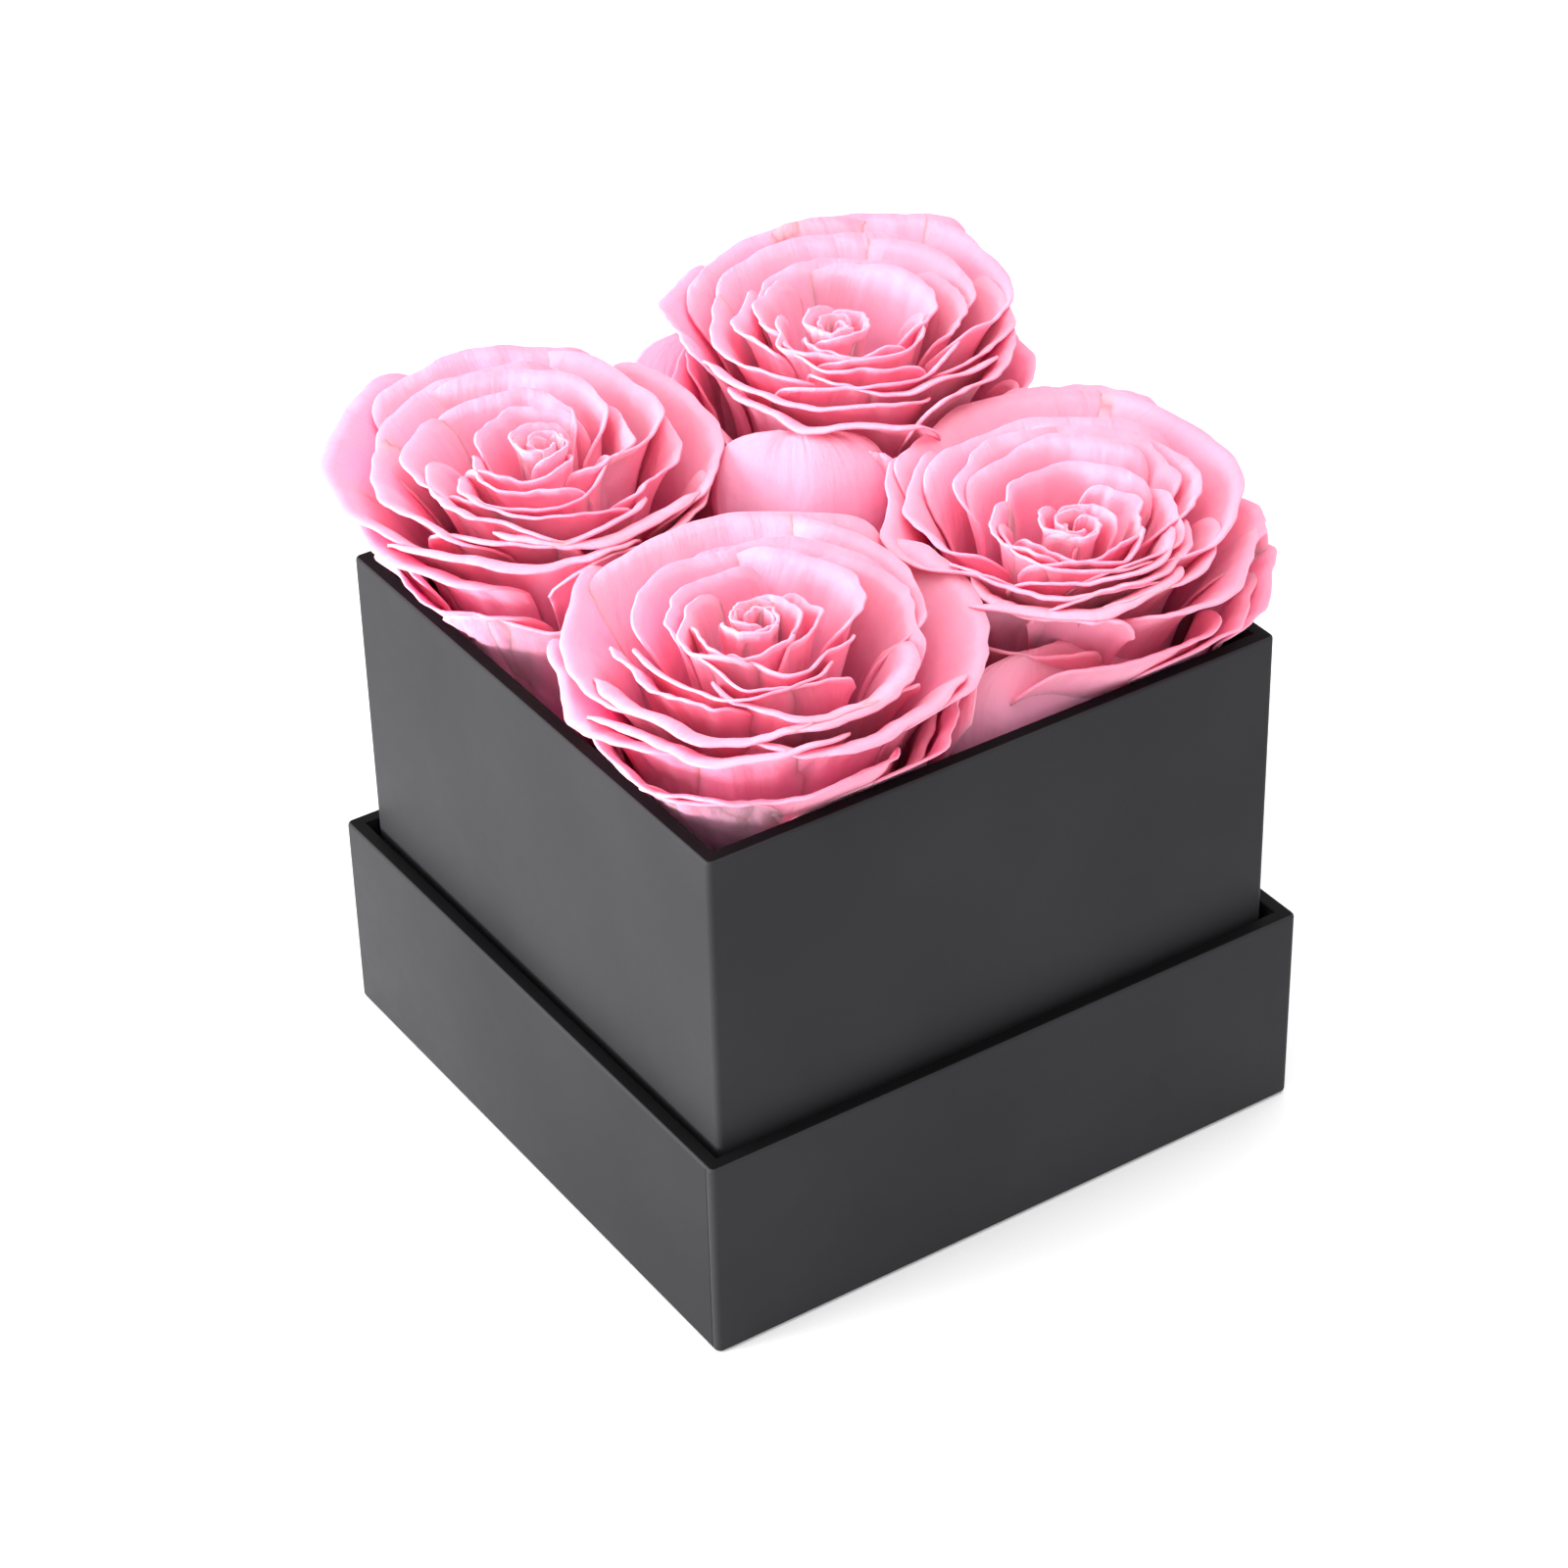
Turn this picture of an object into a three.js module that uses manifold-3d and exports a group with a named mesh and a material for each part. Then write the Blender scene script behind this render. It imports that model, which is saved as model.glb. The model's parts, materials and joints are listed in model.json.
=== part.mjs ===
// A square rigid flower box that stands in its own upturned lid and holds four preserved roses in dry foam.
// Millimetres, +Z up. The origin is the middle of the face that the lid stands on, and -Y is the front.
import * as THREE from "three";
import { mergeVertices } from "three/addons/utils/BufferGeometryUtils.js";
import Module from "manifold-3d";

// Driving sizes of the two trays.
const BOX_WIDTH = 100; // outside of the covered box, both ways
const BOX_HEIGHT = 82.5; // outside of the covered box
const LID_DEPTH = 35; // outside of the covered lid
const BOARD = 2; // caliper of the greyboard
const PAPER = 0.2; // covering and lining paper
const TAPE = 0.2; // corner stay tape
const GLUE = 0.05; // glue film between two layers
const SLIDE_CLEARANCE = 1.05; // free gap between box and lid, on each side
const SEAT_GAP = 0.1; // between the box's underside and the lid's lining
const FOLD_RADIUS = 1; // outside of a covered upright corner
const BOX_TURN_IN = 15; // cover folded down inside the box's rim
const LID_TURN_IN = 12; // cover folded down inside the lid's rim
const TURN_UNDER = 10; // cover folded under the base
const SHEET_INSET = 3; // bare border round the sheet on a base
const BOX_LINING_DROP = 6; // from the box's rim down to its lining
const LID_LINING_DROP = 5; // from the lid's rim down to its lining
const TAPE_LEG = 12; // reach of a stay along each wall
const TAPE_MARGIN = 4; // from a stay's ends to the board's edges
const SEAM_OFFSET = 1.5; // from a corner to the cover's seam
const SEAM_GAP = 0.3; // between the two ends of the cover
const FOLD_STEPS = 4; // flats round a quarter of a folded corner

// Driving sizes of the filling.
const FOAM_HEIGHT = 36;
const FOAM_CLEARANCE = 0.25; // on each side, and under the block
const STEM_RADIUS = 2.6;
const STEM_CLEARANCE = 0.3; // round a stem and below its end
const STEM_DEPTH = 27; // how far a stem reaches into the foam
const STEM_SIDES = 12;
const NECK_HEIGHT = 8.35; // from the foam to the lowest calyx
const NECK_RADIUS = 3; // underside of the swelling under a bloom
const HIP_HEIGHT = 8;
const HIP_RADIUS = 11.4;
const PIECE_GAP = 0.3; // between pieces inside a turned head
const BLOOM_HEIGHT = 45;
const FLARE = 1.35; // how late a bloom opens: 1 is a straight cone
const RING_STEPS = 4; // rings up a petal ring's side
const RING_SIDES = 24;
const CORE_SIDES = 18;
const CELL_GAP = 0.6; // between the blooms where they press together
const CELL_CENTRE = 3; // the blooms meet this far right of and behind the middle
const RIM_GAP = 0.4; // between a bloom and the wall it passes
const CELL_HEIGHT = 200; // taller than anything in the box

// Each bloom: which quarter of the box, how far its head leans out, and how much it stands above the lowest one.
const STEM_SPACING = 49;
const ROSES = [
  { name: "front", side: [-1, -1], lean: [0.5, 4.5], rise: 0, radius: 31.5, phase: 0.4 },
  { name: "left", side: [-1, 1], lean: [1.2, 5.7], rise: 3, radius: 31.5, phase: 1.3 },
  { name: "right", side: [1, -1], lean: [4.4, 4.3], rise: 3, radius: 31.5, phase: 2.1 },
  { name: "back", side: [1, 1], lean: [5.5, 4.8], rise: 7, radius: 30, phase: 0.9 },
];

// The petal rings from the heart outwards: foot radius, share of the bloom's radius, height lost, wall and petals.
const RINGS = [
  { name: "inner_petals", foot: 4.8, share: 0.5, drop: 0.5, wall: 1.8, petals: 3 },
  { name: "middle_petals", foot: 7, share: 0.75, drop: 1.5, wall: 1.8, petals: 5 },
  { name: "outer_petals", foot: 9.2, share: 1, drop: 3, wall: 1.9, petals: 5 },
];

// Loose petals that close the gaps: foot of the petal, heading of its face, width, length and lean from upright.
const LOOSE_PETALS = [
  { name: "centre_petal_large", at: [5.5, 8.5], base: 76, heading: -33, width: 14, length: 23, lean: 3 },
  { name: "centre_petal_small", at: [5, 1.5], base: 76, heading: -33, width: 10, length: 18, lean: 3 },
  { name: "front_gap_petal", at: [3, -42], base: 60, heading: 0, width: 10, length: 26, lean: 2 },
  { name: "back_gap_petal", at: [3, 42], base: 62, heading: 180, width: 10, length: 27, lean: 2 },
];
const LOOSE_PETAL_WALL = 1.2;
const LOOSE_PETAL_CUP = 2.2; // depth of a loose petal's hollow

// Sizes that follow.
const SKIN = PAPER + GLUE; // one paper with its glue film
const WALL = 3 * SKIN + BOARD; // cover, board, turn-in and lining
const LID_WIDTH = BOX_WIDTH + 2 * (SLIDE_CLEARANCE + WALL);
const FLOOR = 3 * SKIN + BOARD; // sheet, turn-under, board and lining
const BOX_BASE = FLOOR + SEAT_GAP; // height of the box's underside
const BOX_RIM = BOX_BASE + BOX_HEIGHT;
const INSIDE = BOX_WIDTH / 2 - WALL; // half the clear width inside the box
const FOAM_BASE = BOX_BASE + FLOOR + FOAM_CLEARANCE;
const FOAM_TOP = FOAM_BASE + FOAM_HEIGHT;

const COVER = new THREE.MeshStandardMaterial({ color: 0x2b2b2d, roughness: 0.5, metalness: 0 });
const LINING = new THREE.MeshStandardMaterial({ color: 0x1b1b1c, roughness: 0.8, metalness: 0 });
const GREYBOARD = new THREE.MeshStandardMaterial({ color: 0x8f8a80, roughness: 0.95, metalness: 0 });
const KRAFT = new THREE.MeshStandardMaterial({ color: 0xb08d5f, roughness: 0.8, metalness: 0 });
const FOAM = new THREE.MeshStandardMaterial({ color: 0x5d6b45, roughness: 1, metalness: 0 });
const PETAL = new THREE.MeshStandardMaterial({ color: 0xfbb8cc, roughness: 0.65, metalness: 0 });
const GREEN = new THREE.MeshStandardMaterial({ color: 0x5b7042, roughness: 0.7, metalness: 0 });

const wasm = await Module();
wasm.setup();

/** A closed geometry as a solid that can be cut and joined. */
function toSolid(geometry) {
  const bare = geometry.clone();
  bare.deleteAttribute("normal");
  bare.deleteAttribute("uv");
  const merged = mergeVertices(bare, 1e-4);
  return new wasm.Manifold(
    new wasm.Mesh({
      numProp: 3,
      vertProperties: new Float32Array(merged.attributes.position.array),
      triVerts: new Uint32Array(merged.index.array),
    }),
  );
}

/** A solid as a geometry. */
function toGeometry(solid) {
  const mesh = solid.getMesh();
  const geometry = new THREE.BufferGeometry();
  geometry.setAttribute("position", new THREE.BufferAttribute(mesh.vertProperties, 3));
  geometry.setIndex(new THREE.BufferAttribute(mesh.triVerts, 1));
  geometry.computeVertexNormals();
  return geometry;
}

function addMesh(parent, name, geometry, material) {
  const mesh = new THREE.Mesh(geometry, material);
  mesh.name = name;
  parent.add(mesh);
  return mesh;
}

/** A box between two corners. */
function block(low, high) {
  const size = high.map((value, i) => value - low[i]);
  const middle = high.map((value, i) => (value + low[i]) / 2);
  return new THREE.BoxGeometry(...size).translate(...middle);
}

/** An upright square prism round the Z axis, with rounded upright edges. */
function prism(half, radius, bottom, top) {
  if (radius <= 0) return block([-half, -half, bottom], [half, half, top]);
  const outline = new THREE.Shape();
  outline.moveTo(half, radius - half);
  outline.lineTo(half, half - radius);
  outline.absarc(half - radius, half - radius, radius, 0, Math.PI / 2);
  outline.absarc(radius - half, half - radius, radius, Math.PI / 2, Math.PI);
  outline.absarc(radius - half, radius - half, radius, Math.PI, 1.5 * Math.PI);
  outline.absarc(half - radius, radius - half, radius, 1.5 * Math.PI, 2 * Math.PI);
  const options = { depth: top - bottom, bevelEnabled: false, curveSegments: FOLD_STEPS };
  return new THREE.ExtrudeGeometry(outline, options).translate(0, 0, bottom);
}

const CORNERS = [
  { name: "front_left", side: [-1, -1] },
  { name: "front_right", side: [1, -1] },
  { name: "back_right", side: [1, 1] },
  { name: "back_left", side: [-1, 1] },
];

/** The column of space at one corner of a tray that a stay tape fills, grown by a margin. */
function cornerColumn(side, half, leg, bottom, top) {
  const ends = side.map((s) => [s * (half - leg), s * (half + 1)].sort((a, b) => a - b));
  return toSolid(block([ends[0][0], ends[1][0], bottom], [ends[0][1], ends[1][1], top]));
}

/** One covered tray, the box or the lid, standing on z = 0: boards, stays, cover, base sheet and lining. */
function makeTray({ name, width, height, turnIn, liningDrop, seamSide }) {
  const tray = new THREE.Group();
  const outside = width / 2;
  const boardFace = outside - SKIN; // outer face of the wall boards
  const boardRadius = FOLD_RADIUS - SKIN;
  const boardInside = boardFace - BOARD;
  const turnFace = boardInside - GLUE;
  const turnInside = turnFace - PAPER;
  const liningFace = turnInside - GLUE;
  const boardBottom = 2 * SKIN;
  const boardTop = height - SKIN;
  const floorTop = boardBottom + BOARD;

  const envelope = toSolid(prism(boardFace, boardRadius, boardBottom, boardTop));
  const tapeBottom = boardBottom + TAPE_MARGIN;
  const tapeTop = boardTop - TAPE_MARGIN;
  const tapeShell = (inset) =>
    toSolid(prism(boardFace, boardRadius, boardBottom - 1, boardTop + 1)).subtract(
      toSolid(prism(boardFace - inset, boardRadius - inset, boardBottom - 2, boardTop + 2)),
    );

  let boardBlank = envelope;
  for (const { name: corner, side } of CORNERS) {
    const column = cornerColumn(side, boardFace, TAPE_LEG, tapeBottom, tapeTop);
    const stay = tapeShell(TAPE).intersect(column);
    const pocketColumn = cornerColumn(side, boardFace, TAPE_LEG + GLUE, tapeBottom - GLUE, tapeTop + GLUE);
    boardBlank = boardBlank.subtract(tapeShell(TAPE + GLUE).intersect(pocketColumn));
    addMesh(tray, `${name}_stay_${corner}`, toGeometry(stay), KRAFT);
  }

  const floorHalf = boardInside - GLUE;
  const panels = {
    floor_board: block([-floorHalf, -floorHalf, boardBottom], [floorHalf, floorHalf, floorTop]),
    front_board: block([-boardFace, -boardFace, boardBottom], [boardFace, -boardInside, boardTop]),
    back_board: block([-boardFace, boardInside, boardBottom], [boardFace, boardFace, boardTop]),
    left_board: block([-boardFace, -floorHalf, boardBottom], [-boardInside, floorHalf, boardTop]),
    right_board: block([boardInside, -floorHalf, boardBottom], [boardFace, floorHalf, boardTop]),
  };
  for (const [panel, geometry] of Object.entries(panels)) {
    addMesh(tray, `${name}_${panel}`, toGeometry(toSolid(geometry).intersect(boardBlank)), GREYBOARD);
  }

  const underHalf = outside - TURN_UNDER;
  const seamStart = SEAM_OFFSET - outside;
  const seam = block([-outside - 1, seamStart, 0], [-boardFace - GLUE / 2, seamStart + SEAM_GAP, height + 1]);
  if (seamSide === "right") seam.rotateZ(Math.PI);
  const cover = toSolid(prism(outside, FOLD_RADIUS, SKIN, height))
    .subtract(toSolid(prism(outside - PAPER, FOLD_RADIUS - PAPER, SKIN + PAPER, height - PAPER)))
    .subtract(toSolid(prism(underHalf, 0, 0, boardBottom)))
    .subtract(toSolid(prism(turnInside, 0, boardTop, height + 1)))
    .add(toSolid(prism(turnFace, 0, height - turnIn, height)).subtract(
      toSolid(prism(turnInside, 0, height - turnIn - 1, height + 1)),
    ))
    .subtract(toSolid(seam));
  addMesh(tray, `${name}_cover_paper`, toGeometry(cover), COVER);
  addMesh(tray, `${name}_base_sheet`, prism(outside - SHEET_INSET, 0, 0, PAPER), COVER);

  const lining = toSolid(prism(liningFace, 0, floorTop + GLUE, height - liningDrop)).subtract(
    toSolid(prism(liningFace - PAPER, 0, floorTop + SKIN, height)),
  );
  addMesh(tray, `${name}_lining_paper`, toGeometry(lining), LINING);
  return tray;
}

/** Where a rose stands and how its head is turned. */
function rosePlace({ side, lean, rise }) {
  const foot = side.map((s) => (s * STEM_SPACING) / 2);
  const neck = FOAM_TOP + NECK_HEIGHT + rise;
  const bloomTop = HIP_HEIGHT + BLOOM_HEIGHT;
  const axis = new THREE.Vector3(side[0] * lean[0], side[1] * lean[1], bloomTop).normalize();
  const turn = new THREE.Quaternion().setFromUnitVectors(new THREE.Vector3(0, 0, 1), axis);
  return { foot, neck, turn };
}

/** Stands a solid that is modelled on its own axis in its place as part of a rose's head. */
function inHead(solid, { foot, neck, turn }) {
  const matrix = new THREE.Matrix4().compose(
    new THREE.Vector3(foot[0], foot[1], neck),
    turn,
    new THREE.Vector3(1, 1, 1),
  );
  return solid.transform(matrix.elements);
}

/** The room that one bloom has: its quarter of the box, inside the walls up to the rim, and free above it. */
function bloomCell(side) {
  const quarter = (half, bottom, top) => {
    const spans = side.map((s) => [CELL_CENTRE + (s * CELL_GAP) / 2, s * half].sort((a, b) => a - b));
    return toSolid(block([spans[0][0], spans[1][0], bottom], [spans[0][1], spans[1][1], top]));
  };
  const below = quarter(INSIDE - RIM_GAP, 0, BOX_RIM + RIM_GAP);
  return below.add(quarter(BOX_WIDTH, BOX_RIM + RIM_GAP - 0.01, CELL_HEIGHT));
}

/** A lathe turned about +Z from [radius, height] pairs that run anticlockwise seen from -Y. */
function turned(points, sides) {
  const profile = points.map(([radius, height]) => new THREE.Vector2(radius, height));
  return new THREE.LatheGeometry(profile, sides).rotateX(Math.PI / 2);
}

/** One ring of overlapping petals as a goblet wall whose edge rises and falls with the petals. */
function petalRing({ foot, share, drop, wall, petals }, { radius, phase }) {
  const bottom = HIP_HEIGHT + PIECE_GAP;
  const height = BLOOM_HEIGHT - drop - PIECE_GAP;
  const spread = radius * share - foot;
  const side = (offset) =>
    Array.from({ length: RING_STEPS + 1 }, (_, i) => {
      const t = i / RING_STEPS;
      return [foot + spread * t ** FLARE - offset, bottom + height * t];
    });
  const profile = [...side(0), ...side(wall).reverse(), [foot, bottom]];
  const geometry = turned(profile, RING_SIDES);
  const point = new THREE.Vector3();
  const position = geometry.attributes.position;
  for (let i = 0; i < position.count; i += 1) {
    point.fromBufferAttribute(position, i);
    const t = (point.z - bottom) / height;
    const wave = Math.cos(petals * Math.atan2(point.y, point.x) + phase);
    const grow = 1 + 0.03 * t * t * wave;
    position.setXYZ(i, point.x * grow, point.y * grow, point.z - (1 - wave) * t * t);
  }
  return toSolid(geometry);
}

/** The tight heart of a bloom. */
function heart() {
  const bottom = HIP_HEIGHT + PIECE_GAP;
  const top = HIP_HEIGHT + BLOOM_HEIGHT;
  const profile = [
    [0, bottom],
    [2.6, bottom],
    [4.4, bottom + 12],
    [7.5, bottom + 26],
    [8.2, top - 8],
    [6.4, top - 1],
    [3, top],
    [0, top - 1.5],
  ];
  return toSolid(turned(profile, CORE_SIDES));
}

/** A thin leaf of even thickness that starts at the origin and runs along +Y, cupped towards +Z. */
function leafSlab({ width, length, wall, cup, droop = 0, steps = [6, 6] }) {
  const geometry = new THREE.BoxGeometry(1, 1, wall, steps[0], steps[1], 1);
  const point = new THREE.Vector3();
  const position = geometry.attributes.position;
  for (let i = 0; i < position.count; i += 1) {
    point.fromBufferAttribute(position, i);
    const along = point.y + 0.5;
    const outline = 0.3 + 0.7 * Math.sin(Math.PI * (0.12 + 0.72 * along));
    const across = point.x * outline;
    const lift = 4 * cup * across * across - droop * along * along;
    position.setXYZ(i, across * width, along * length, point.z + lift);
  }
  return geometry;
}

/** The green hip under a bloom with its five sepals bent down. */
function calyx() {
  const profile = [
    [0, 0],
    [NECK_RADIUS, 0],
    [4.6, 1.6],
    [7.8, 5.4],
    [HIP_RADIUS, HIP_HEIGHT],
    [0, HIP_HEIGHT],
  ];
  let solid = toSolid(turned(profile, CORE_SIDES));
  const sepals = 5;
  for (let i = 0; i < sepals; i += 1) {
    const sepal = leafSlab({ width: 8, length: 17, wall: 0.8, cup: 0.8, droop: 9, steps: [2, 5] });
    sepal.translate(0, 5, HIP_HEIGHT - 1.8).rotateZ((2 * Math.PI * i) / sepals);
    solid = solid.add(toSolid(sepal));
  }
  return solid;
}

/** Stem, calyx, heart and petal rings of one rose. */
function makeRose(rose) {
  const group = new THREE.Group();
  const place = rosePlace(rose);
  const cell = bloomCell(rose.side);
  const name = (piece) => `rose_${rose.name}_${piece}`;

  const tilt = 2 * Math.acos(place.turn.w);
  const stemBottom = FOAM_TOP - STEM_DEPTH;
  const stemTop = place.neck - PIECE_GAP - NECK_RADIUS * Math.sin(tilt);
  const stemLength = stemTop - stemBottom;
  const stem = new THREE.CylinderGeometry(STEM_RADIUS, STEM_RADIUS, stemLength, STEM_SIDES).rotateX(Math.PI / 2);
  stem.translate(place.foot[0], place.foot[1], stemBottom + stemLength / 2);
  addMesh(group, name("stem"), stem, GREEN);

  addMesh(group, name("calyx"), toGeometry(inHead(calyx(), place)), GREEN);
  addMesh(group, name("heart"), toGeometry(inHead(heart(), place)), PETAL);
  for (const ring of RINGS) {
    const solid = inHead(petalRing(ring, rose), place).intersect(cell);
    addMesh(group, name(ring.name), toGeometry(solid), PETAL);
  }
  return group;
}

/** The dry foam block with a blind hole for each stem. */
function makeFoam() {
  const half = INSIDE - FOAM_CLEARANCE;
  let foam = toSolid(block([-half, -half, FOAM_BASE], [half, half, FOAM_TOP]));
  const radius = STEM_RADIUS + STEM_CLEARANCE;
  const depth = STEM_DEPTH + STEM_CLEARANCE;
  for (const rose of ROSES) {
    const { foot } = rosePlace(rose);
    const hole = new THREE.CylinderGeometry(radius, radius, depth + 1, STEM_SIDES).rotateX(Math.PI / 2);
    foam = foam.subtract(toSolid(hole.translate(foot[0], foot[1], FOAM_TOP - depth + (depth + 1) / 2)));
  }
  return toGeometry(foam);
}

/** One loose petal standing in a gap between the blooms. */
function makeLoosePetal({ at, base, heading, width, length, lean }) {
  const geometry = leafSlab({ width, length, wall: LOOSE_PETAL_WALL, cup: LOOSE_PETAL_CUP, steps: [5, 5] });
  geometry.rotateX(Math.PI / 2 + THREE.MathUtils.degToRad(lean));
  geometry.rotateZ(THREE.MathUtils.degToRad(heading));
  return geometry.translate(at[0], at[1], base);
}

const flowerBox = new THREE.Group();

const lid = makeTray({
  name: "lid",
  width: LID_WIDTH,
  height: LID_DEPTH,
  turnIn: LID_TURN_IN,
  liningDrop: LID_LINING_DROP,
  seamSide: "left",
});
const box = makeTray({
  name: "box",
  width: BOX_WIDTH,
  height: BOX_HEIGHT,
  turnIn: BOX_TURN_IN,
  liningDrop: BOX_LINING_DROP,
  seamSide: "right",
});
box.position.z = BOX_BASE;
flowerBox.add(lid, box);

addMesh(flowerBox, "foam_block", makeFoam(), FOAM);
for (const rose of ROSES) flowerBox.add(makeRose(rose));
for (const petal of LOOSE_PETALS) addMesh(flowerBox, petal.name, makeLoosePetal(petal), PETAL);

export default flowerBox;
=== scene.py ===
"""A square paper-covered flower box in its upturned lid, with four preserved roses and four loose petals.

Sizes in this file are millimetres and angles are degrees, unless a name or docstring says otherwise.
"""

import json
import logging
import math
from collections.abc import Callable
from dataclasses import dataclass, field
from enum import Enum

import bmesh
import bpy
from mathutils import Matrix, Vector, noise


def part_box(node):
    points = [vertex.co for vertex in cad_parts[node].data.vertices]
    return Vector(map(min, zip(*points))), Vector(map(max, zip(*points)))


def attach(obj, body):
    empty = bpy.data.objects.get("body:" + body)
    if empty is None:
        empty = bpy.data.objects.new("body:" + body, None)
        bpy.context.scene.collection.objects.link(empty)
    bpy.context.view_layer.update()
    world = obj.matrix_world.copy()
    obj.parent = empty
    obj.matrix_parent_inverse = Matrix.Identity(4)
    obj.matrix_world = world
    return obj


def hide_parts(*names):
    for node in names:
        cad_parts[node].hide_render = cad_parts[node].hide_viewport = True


log = logging.getLogger("flower_box")

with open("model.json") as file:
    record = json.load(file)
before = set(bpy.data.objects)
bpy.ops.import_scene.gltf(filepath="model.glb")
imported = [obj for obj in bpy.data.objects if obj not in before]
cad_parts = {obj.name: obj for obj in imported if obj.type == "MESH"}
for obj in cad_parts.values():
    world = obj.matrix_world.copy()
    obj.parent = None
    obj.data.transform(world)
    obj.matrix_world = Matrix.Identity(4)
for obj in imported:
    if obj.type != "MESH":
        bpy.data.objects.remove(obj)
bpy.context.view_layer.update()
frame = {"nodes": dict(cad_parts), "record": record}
MM = 0.001


class Place(Enum):
    """The corner of the box that a rose stands in."""

    FRONT = "front"
    LEFT = "left"
    RIGHT = "right"
    BACK = "back"


class Whorl(Enum):
    """One ring of petals, named as the CAD node it stands for."""

    HEART = "heart"
    INNER = "inner_petals"
    MIDDLE = "middle_petals"
    OUTER = "outer_petals"


def linear(colour: str) -> tuple[float, float, float, float]:
    """Turns an sRGB hex colour into the linear colour that a shader socket takes.

    Args:
        colour: six hex digits after a hash.

    Returns:
        Red, green, blue and an alpha of 1.
    """
    parts = [int(colour[i : i + 2], 16) / 255 for i in (1, 3, 5)]
    red, green, blue = (c / 12.92 if c <= 0.04045 else ((c + 0.055) / 1.055) ** 2.4 for c in parts)
    return red, green, blue, 1.0


def smooth(value: float, low: float, high: float) -> float:
    """Rises smoothly from 0 at low to 1 at high."""
    t = min(1.0, max(0.0, (value - low) / (high - low)))
    return t * t * (3 - 2 * t)


def mix(a: float, b: float, share: float) -> float:
    """Goes from a to b as share goes from 0 to 1."""
    return a + (b - a) * share


def new_mesh_object(name: str, bm: bmesh.types.BMesh, rounded: bool = True) -> bpy.types.Object:
    """Makes an object of a mesh that is modelled in millimetres in the object's own frame.

    Args:
        name: the piece's name.
        bm: the mesh, which is freed.
        rounded: whether its faces are shaded smooth.

    Returns:
        The object, at the origin and in metres.
    """
    bmesh.ops.scale(bm, vec=Vector((MM, MM, MM)), verts=bm.verts)
    mesh = bpy.data.meshes.new(name)
    bm.to_mesh(mesh)
    bm.free()
    mesh.polygons.foreach_set("use_smooth", [rounded] * len(mesh.polygons))
    thing = bpy.data.objects.new(name, mesh)
    bpy.context.scene.collection.objects.link(thing)
    return thing


def add_node(
    tree: bpy.types.NodeTree, kind: str, settings: dict | None = None, inputs: dict | None = None
) -> bpy.types.Node:
    """Adds a shader node.

    Args:
        tree: the node tree.
        kind: the node's type name.
        settings: the node's own properties.
        inputs: values for its sockets, or the output sockets that feed them, by socket name or number.

    Returns:
        The new node.
    """
    node = tree.nodes.new(kind)
    for key, value in (settings or {}).items():
        setattr(node, key, value)
    for key, value in (inputs or {}).items():
        if isinstance(value, bpy.types.NodeSocket):
            tree.links.new(value, node.inputs[key])
        else:
            node.inputs[key].default_value = value
    return node


def new_material(name: str) -> tuple[bpy.types.Material, bpy.types.NodeTree]:
    """Makes a material with an empty node tree."""
    material = bpy.data.materials.new(name)
    material.use_nodes = True
    material.node_tree.nodes.clear()
    return material, material.node_tree


def add_thickness(piece: bpy.types.Object, name: str, thickness: float, offset: float) -> None:
    """Gives a sheet its thickness.

    Args:
        piece: the sheet.
        name: the modifier's name.
        thickness: in millimetres.
        offset: -1 to grow behind the face, 0 to grow to both sides.
    """
    wall = piece.modifiers.new(name, "SOLIDIFY")
    wall.thickness = thickness * MM
    wall.offset = offset


def ramp(
    tree: bpy.types.NodeTree, fac: bpy.types.NodeSocket, stops: list[tuple[float, str]]
) -> bpy.types.NodeSocket:
    """Adds a colour ramp with stops at the given places and sRGB colours, and returns its colour socket."""
    node = add_node(tree, "ShaderNodeValToRGB", inputs={"Fac": fac})
    elements = node.color_ramp.elements
    while len(elements) < len(stops):
        elements.new(0.5)
    for element, (position, colour) in zip(elements, stops):
        element.position = position
        element.color = linear(colour)
    return node.outputs["Color"]


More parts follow.
